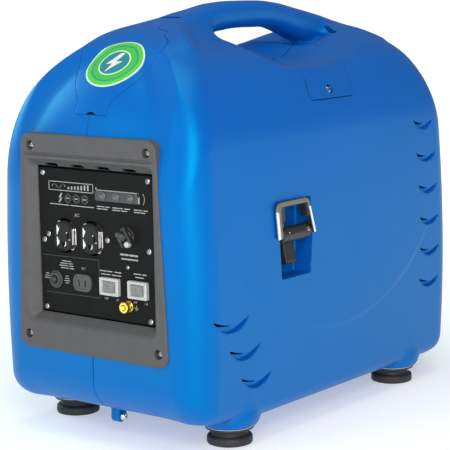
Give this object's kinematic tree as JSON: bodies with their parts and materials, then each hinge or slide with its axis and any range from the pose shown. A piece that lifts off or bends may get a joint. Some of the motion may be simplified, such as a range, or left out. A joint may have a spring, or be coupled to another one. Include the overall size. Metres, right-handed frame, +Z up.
{
  "type": "inverter generator",
  "caption": "Suitcase-style portable inverter generator: moulded half shells with a carrying handle, recessed outlet panel, draw latch, hinged fuel lid and rubber feet.",
  "frame": {"origin": "on the floor, under the middle of the bounding box", "axes": "+Z up, -Y towards the control panel, +X towards the latch side"},
  "size_m": [0.289, 0.5015, 0.456],
  "materials": {
    "blue_plastic": "moulded, satin gloss",
    "bezel_grey": "fine moulded grain",
    "panel_black": "satin powder coat",
    "bright_steel": "zinc plated",
    "chrome": "plated, polished",
    "outlet_black": "moulded, semi gloss",
    "lamp_lens": "tinted lens",
    "switch_silver": "silver painted",
    "brass": "machined",
    "black_plastic": "moulded",
    "rubber": "moulded",
    "dark_steel": "heat-resistant black",
    "cast_aluminium": "die cast",
    "copper_winding": "enamelled wire over laminations",
    "pale_nylon": "nylon",
    "ceramic": "glazed"
  },
  "bodies": {
    "housing": {"right_shell": "blue_plastic", "left_shell": "blue_plastic", "service_cover": "blue_plastic", "service_cover_screw": "bright_steel", "panel_bezel": "bezel_grey", "bezel_screws": "bright_steel", "control_plate": "panel_black", "plate_screws": "bright_steel", "duplex_receptacle": "outlet_black", "receptacle_screws": "bright_steel", "dc_outlet": "outlet_black", "led_block": "outlet_black", "led_lenses": "lamp_lens", "switch_frames": "switch_silver", "ac_breaker_collar": "outlet_black", "dc_breaker_collar": "outlet_black", "ground_stud": "brass", "lid_hinge_pin": "bright_steel", "fuel_tank": "black_plastic", "filler_boot": "rubber", "latch_base": "black_plastic", "latch_pivot_pin": "bright_steel", "rubber_feet": "rubber", "foot_bolts": "bright_steel", "seam_screw": "bright_steel", "exhaust_guard": "dark_steel", "guard_screws": "bright_steel", "muffler": "dark_steel", "base_tray": "cast_aluminium", "frame_posts": "dark_steel", "engine_mounts": "rubber", "crankcase": "cast_aluminium", "main_bearings": "bright_steel", "stator": "copper_winding", "fan_shroud": "black_plastic", "recoil_housing": "black_plastic", "rope_eyelet": "bright_steel", "cylinder_barrel": "cast_aluminium", "cylinder_head": "cast_aluminium", "spark_plug": "ceramic", "carburettor": "cast_aluminium", "air_filter_box": "black_plastic", "fuel_hose": "rubber", "inverter_module": "cast_aluminium"},
    "fuel_lid": {"fuel_lid": "blue_plastic"},
    "fuel_cap": {"fuel_cap": "black_plastic"},
    "latch_lever": {"latch_lever": "black_plastic"},
    "latch_bail": {"latch_bail": "chrome"},
    "idle_rocker": {"idle_rocker": "outlet_black"},
    "engine_rocker": {"engine_rocker": "outlet_black"},
    "ac_breaker_button": {"ac_breaker_button": "outlet_black"},
    "dc_breaker_button": {"dc_breaker_button": "outlet_black"},
    "ground_nut": {"ground_nut": "brass"},
    "crank_train": {"crankshaft": "bright_steel", "flywheel_rotor": "dark_steel", "cooling_fan": "black_plastic"},
    "recoil_pulley": {"recoil_pulley": "pale_nylon"},
    "starter_grip": {"starter_grip": "black_plastic", "starter_rope": "pale_nylon"},
    "choke_knob": {"choke_knob": "black_plastic"}
  },
  "joints": [
    {"name": "fuel_lid_hinge", "type": "hinge", "parent": "housing", "child": "fuel_lid", "pos_m": [0, -0.111, 0.4375], "axis": [-1, 0, 0], "range_deg": [0, 92]},
    {"name": "fuel_cap_turn", "type": "hinge", "parent": "housing", "child": "fuel_cap", "pos_m": [0, -0.172, 0.366], "axis": [0, 0, 1], "range_deg": [0, 120]},
    {"name": "latch_lever_turn", "type": "hinge", "parent": "housing", "child": "latch_lever", "pos_m": [0.121, -0.0805, 0.226], "axis": [0, -1, 0], "range_deg": [0, 90]},
    {"name": "latch_bail_swing", "type": "hinge", "parent": "latch_lever", "child": "latch_bail", "pos_m": [0.1335, -0.0805, 0.217], "axis": [0, 1, 0], "range_deg": [0, 112.5]},
    {"name": "idle_rocker_tilt", "type": "hinge", "parent": "housing", "child": "idle_rocker", "pos_m": [0.0194, -0.2379, 0.1695], "axis": [0, 0, 1], "range_deg": [0, 16]},
    {"name": "engine_rocker_tilt", "type": "hinge", "parent": "housing", "child": "engine_rocker", "pos_m": [0.058, -0.2379, 0.1695], "axis": [0, 0, 1], "range_deg": [0, 16]},
    {"name": "ac_breaker_push", "type": "slide", "parent": "housing", "child": "ac_breaker_button", "axis": [0, 1, 0], "range_m": [0, 0.003], "stiffness_N_per_m": 600},
    {"name": "dc_breaker_push", "type": "slide", "parent": "housing", "child": "dc_breaker_button", "axis": [0, 1, 0], "range_m": [0, 0.0025], "stiffness_N_per_m": 600},
    {"name": "ground_nut_turn", "type": "hinge", "parent": "housing", "child": "ground_nut", "pos_m": [0.0436, -0.2443, 0.152], "axis": [0, -1, 0], "continuous": true},
    {"name": "crank_spin", "type": "hinge", "parent": "housing", "child": "crank_train", "pos_m": [0, 0, 0.17], "axis": [0, 1, 0], "continuous": true},
    {"name": "starter_pull", "type": "slide", "parent": "housing", "child": "starter_grip", "axis": [-1, 0, 0], "range_m": [0, 0.118], "stiffness_N_per_m": 40, "springref_m": -0.02},
    {"name": "recoil_pulley_turn", "type": "hinge", "parent": "housing", "child": "recoil_pulley", "pos_m": [0, -0.173, 0.17], "axis": [0, -1, 0], "range_deg": [0, 170]},
    {"name": "choke_pull", "type": "slide", "parent": "housing", "child": "choke_knob", "axis": [-1, 0, 0], "range_m": [0, 0.012]}
  ],
  "couplings": [
    {"joint": "latch_bail_swing", "follows": "latch_lever_turn", "ratio": 1.25},
    {"joint": "recoil_pulley_turn", "follows": "starter_pull", "rad_per_m": 25}
  ]
}
